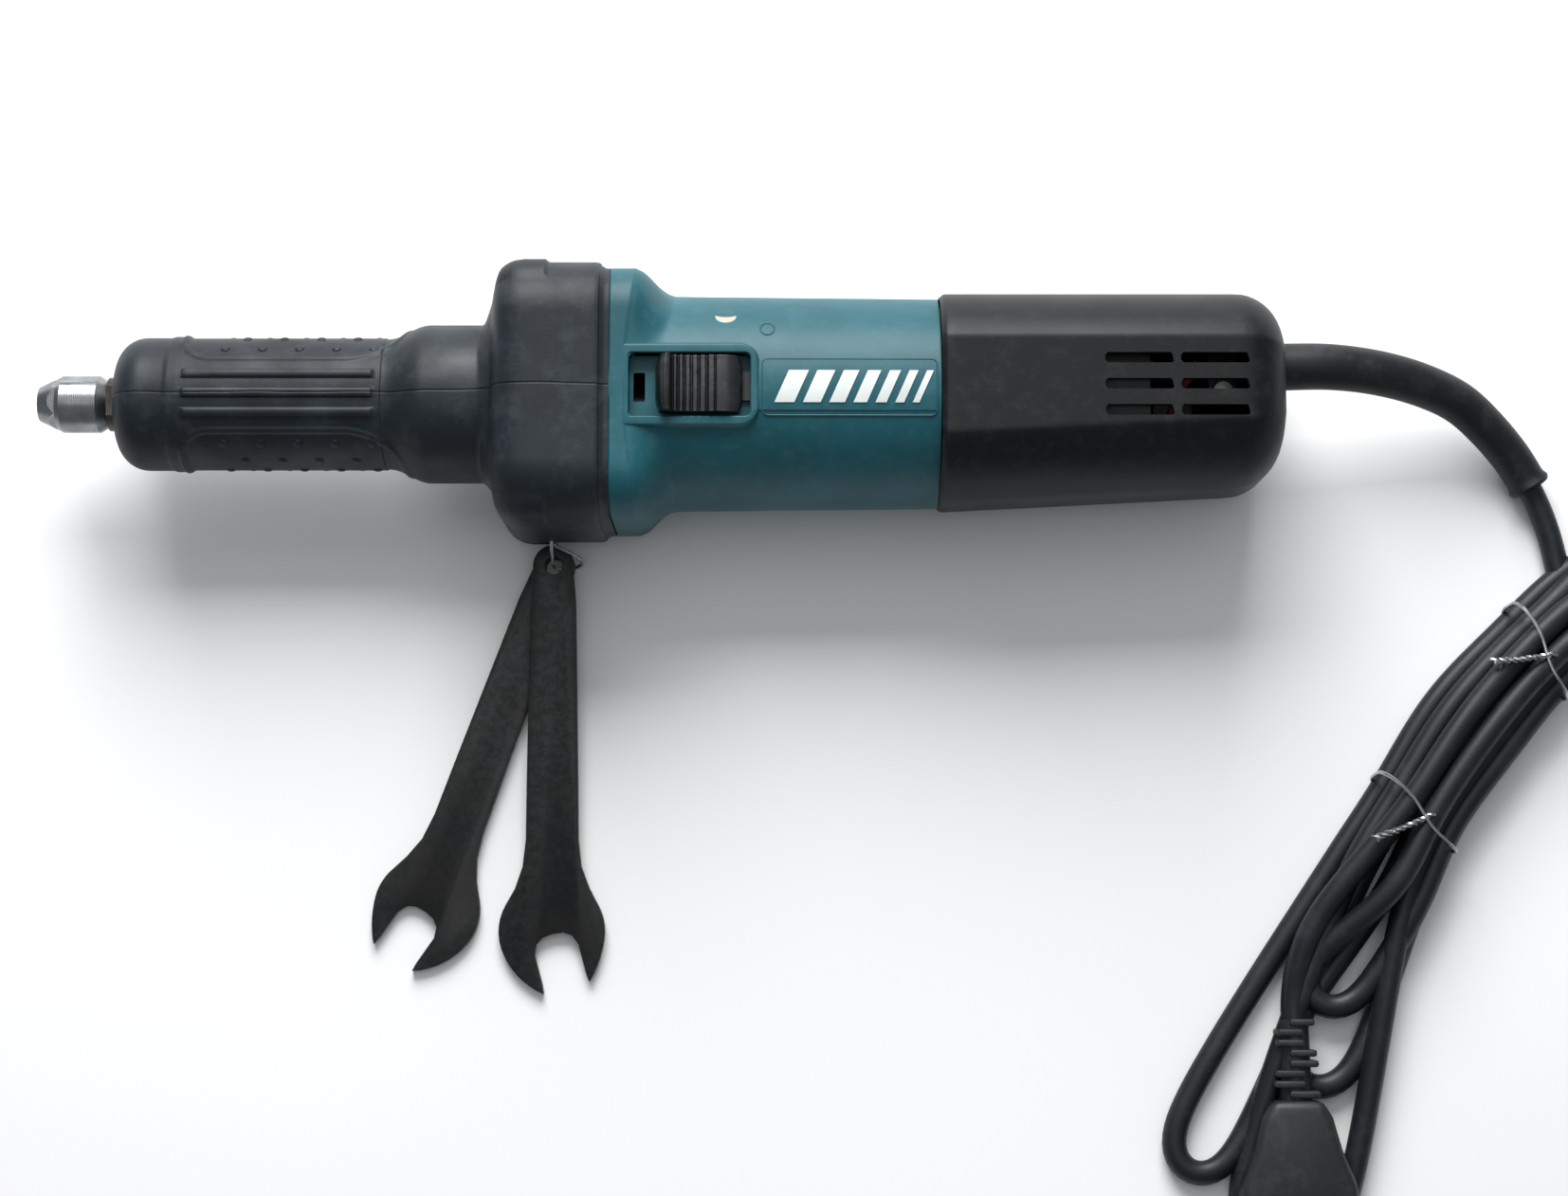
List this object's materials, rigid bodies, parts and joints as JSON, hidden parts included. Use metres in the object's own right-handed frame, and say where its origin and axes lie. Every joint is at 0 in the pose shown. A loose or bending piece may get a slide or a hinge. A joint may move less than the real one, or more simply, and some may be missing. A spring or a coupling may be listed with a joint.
{
  "type": "electric die grinder",
  "caption": "Electric die grinder with a long rubber-sleeved nose, collet, slide switch, rear cover and corded hank, with two spanners wired on.",
  "frame": {"origin": "centre of the collet's mouth, on the spindle axis", "axes": "+X runs along the spindle axis from the collet to the cord, +Z is the side with the switch, +Y is the side the cord leaves on; the tool lies on z = -0.0332"},
  "size_m": [0.487, 0.2929, 0.0698],
  "materials": {
    "polished_steel": "turned and polished, satin with bright ground facets",
    "spring_steel": "spring steel",
    "ground_steel": "ground steel",
    "black_steel": "black steel",
    "moulded_rubber": "moulded rubber",
    "cast_aluminium": "cast aluminium",
    "boot_rubber": "moulded rubber, satin, dusty",
    "laminated_steel": "laminated steel",
    "enamelled_copper": "enamelled copper",
    "commutator_copper": "commutator copper",
    "black_nylon": "black nylon",
    "zinc_steel": "zinc steel",
    "teal_nylon": "moulded glass-filled nylon, fine spark texture",
    "badge_print": "badge print",
    "plate_aluminium": "plate aluminium",
    "brass_sheet": "brass sheet",
    "carbon": "carbon",
    "knob_nylon": "knob nylon",
    "rod_nylon": "rod nylon",
    "lever_acetal": "lever acetal",
    "cover_nylon": "moulded nylon, fine matt texture",
    "terminal_nylon": "terminal nylon",
    "capacitor_shell": "capacitor shell",
    "lead_insulation": "lead insulation",
    "guard_rubber": "guard rubber",
    "cord_rubber": "extruded rubber, satin",
    "tie_wire": "tie wire",
    "plug_rubber": "plug rubber",
    "plated_brass": "plated brass",
    "blackened_steel": "stamped and chemically blackened",
    "bearing_steel": "bearing steel",
    "bearing_balls": "bearing balls"
  },
  "bodies": {
    "root": {"bearing_retainer": "black_steel", "wave_washer": "spring_steel", "mid_bearing_circlip": "black_steel", "nose_housing": "cast_aluminium", "nose_boot": "boot_rubber", "flange_screws": "black_steel", "rear_bearing_sleeve": "moulded_rubber", "baffle_plate": "black_nylon", "field_core": "laminated_steel", "field_coils": "enamelled_copper", "field_screws": "zinc_steel", "motor_housing": "teal_nylon", "front_badge": "badge_print", "rating_plate": "plate_aluminium", "brush_holders": "brass_sheet", "switch_body": "black_nylon", "rear_cover": "cover_nylon", "cover_screws": "black_steel", "terminal_block": "terminal_nylon", "suppressor": "capacitor_shell", "internal_leads": "lead_insulation", "cord_strap": "black_nylon", "strap_screws": "zinc_steel", "cord_guard": "guard_rubber", "cord_lead": "cord_rubber", "cord_hank": "cord_rubber", "hank_ties": "tie_wire", "plug_body": "plug_rubber", "plug_pins": "plated_brass", "tether_wire": "tie_wire", "front_bearing_outer": "bearing_steel", "mid_bearing_outer": "bearing_steel", "motor_front_bearing_outer": "bearing_steel", "motor_rear_bearing_outer": "bearing_steel"},
    "rotor": {"spindle": "ground_steel", "front_bearing_inner": "bearing_steel", "mid_bearing_inner": "bearing_steel", "coupling_sleeve": "moulded_rubber", "motor_shaft": "ground_steel", "armature_core": "laminated_steel", "armature_windings": "enamelled_copper", "commutator": "commutator_copper", "cooling_fan": "black_nylon", "motor_front_bearing_inner": "bearing_steel", "motor_rear_bearing_inner": "bearing_steel"},
    "collet": {"collet": "spring_steel"},
    "collet_nut": {"collet_nut": "polished_steel"},
    "front_balls": {"front_bearing_balls": "bearing_balls"},
    "mid_balls": {"mid_bearing_balls": "bearing_balls"},
    "motor_front_balls": {"motor_front_bearing_balls": "bearing_balls"},
    "motor_rear_balls": {"motor_rear_bearing_balls": "bearing_balls"},
    "brush_left": {"brush_left": "carbon", "brush_spring_left": "spring_steel"},
    "brush_right": {"brush_right": "carbon", "brush_spring_right": "spring_steel"},
    "switch_slider": {"switch_slider": "rod_nylon", "switch_lever": "lever_acetal"},
    "switch_knob": {"switch_knob": "knob_nylon"},
    "spanner_upper": {"spanner_upper": "blackened_steel"},
    "spanner_lower": {"spanner_lower": "blackened_steel"}
  },
  "joints": [
    {"name": "spindle_spin", "type": "hinge", "parent": "root", "child": "rotor", "pos_m": [0, 0, 0], "axis": [1, 0, 0], "continuous": true},
    {"name": "front_cage_spin", "type": "hinge", "parent": "root", "child": "front_balls", "pos_m": [0, 0, 0], "axis": [1, 0, 0], "continuous": true},
    {"name": "mid_cage_spin", "type": "hinge", "parent": "root", "child": "mid_balls", "pos_m": [0, 0, 0], "axis": [1, 0, 0], "continuous": true},
    {"name": "motor_front_cage_spin", "type": "hinge", "parent": "root", "child": "motor_front_balls", "pos_m": [0, 0, 0], "axis": [1, 0, 0], "continuous": true},
    {"name": "motor_rear_cage_spin", "type": "hinge", "parent": "root", "child": "motor_rear_balls", "pos_m": [0, 0, 0], "axis": [1, 0, 0], "continuous": true},
    {"name": "collet_slide", "type": "slide", "parent": "rotor", "child": "collet", "axis": [-1, 0, 0], "range_m": [0, 0.002]},
    {"name": "nut_turn", "type": "hinge", "parent": "collet", "child": "collet_nut", "pos_m": [0, 0, 0], "axis": [-1, 0, 0], "range_deg": [0, 720.5]},
    {"name": "brush_left_slide", "type": "slide", "parent": "root", "child": "brush_left", "axis": [0, 1, 0], "range_m": [0, 0.0015], "stiffness_N_per_m": 150, "springref_m": -0.002},
    {"name": "brush_right_slide", "type": "slide", "parent": "root", "child": "brush_right", "axis": [0, -1, 0], "range_m": [0, 0.0015], "stiffness_N_per_m": 150, "springref_m": -0.002},
    {"name": "switch_slide", "type": "slide", "parent": "root", "child": "switch_slider", "axis": [-1, 0, 0], "range_m": [0, 0.0065], "stiffness_N_per_m": 500, "springref_m": -0.003},
    {"name": "knob_rock", "type": "hinge", "parent": "switch_slider", "child": "switch_knob", "pos_m": [0.2021, 0, 0.0292], "axis": [0, -1, 0], "range_deg": [0, 2.5], "stiffness_Nm_per_rad": 0.05, "springref_deg": -5.73},
    {"name": "spanner_upper_swing", "type": "hinge", "parent": "root", "child": "spanner_upper", "pos_m": [0.1475, -0.0438, -0.0258], "axis": [0, -0.0592, 0.9982], "range_deg": [-3, 25]},
    {"name": "spanner_lower_swing", "type": "hinge", "parent": "root", "child": "spanner_lower", "pos_m": [0.1475, -0.0438, -0.0314], "axis": [-0.0049, -0.0135, 0.9999], "range_deg": [-40, 3]}
  ],
  "couplings": [
    {"joint": "front_cage_spin", "follows": "spindle_spin", "ratio": 0.35},
    {"joint": "mid_cage_spin", "follows": "spindle_spin", "ratio": 0.33333},
    {"joint": "motor_front_cage_spin", "follows": "spindle_spin", "ratio": 0.33333},
    {"joint": "motor_rear_cage_spin", "follows": "spindle_spin", "ratio": 0.33333},
    {"joint": "nut_turn", "follows": "collet_slide", "rad_per_m": 6283.2}
  ]
}
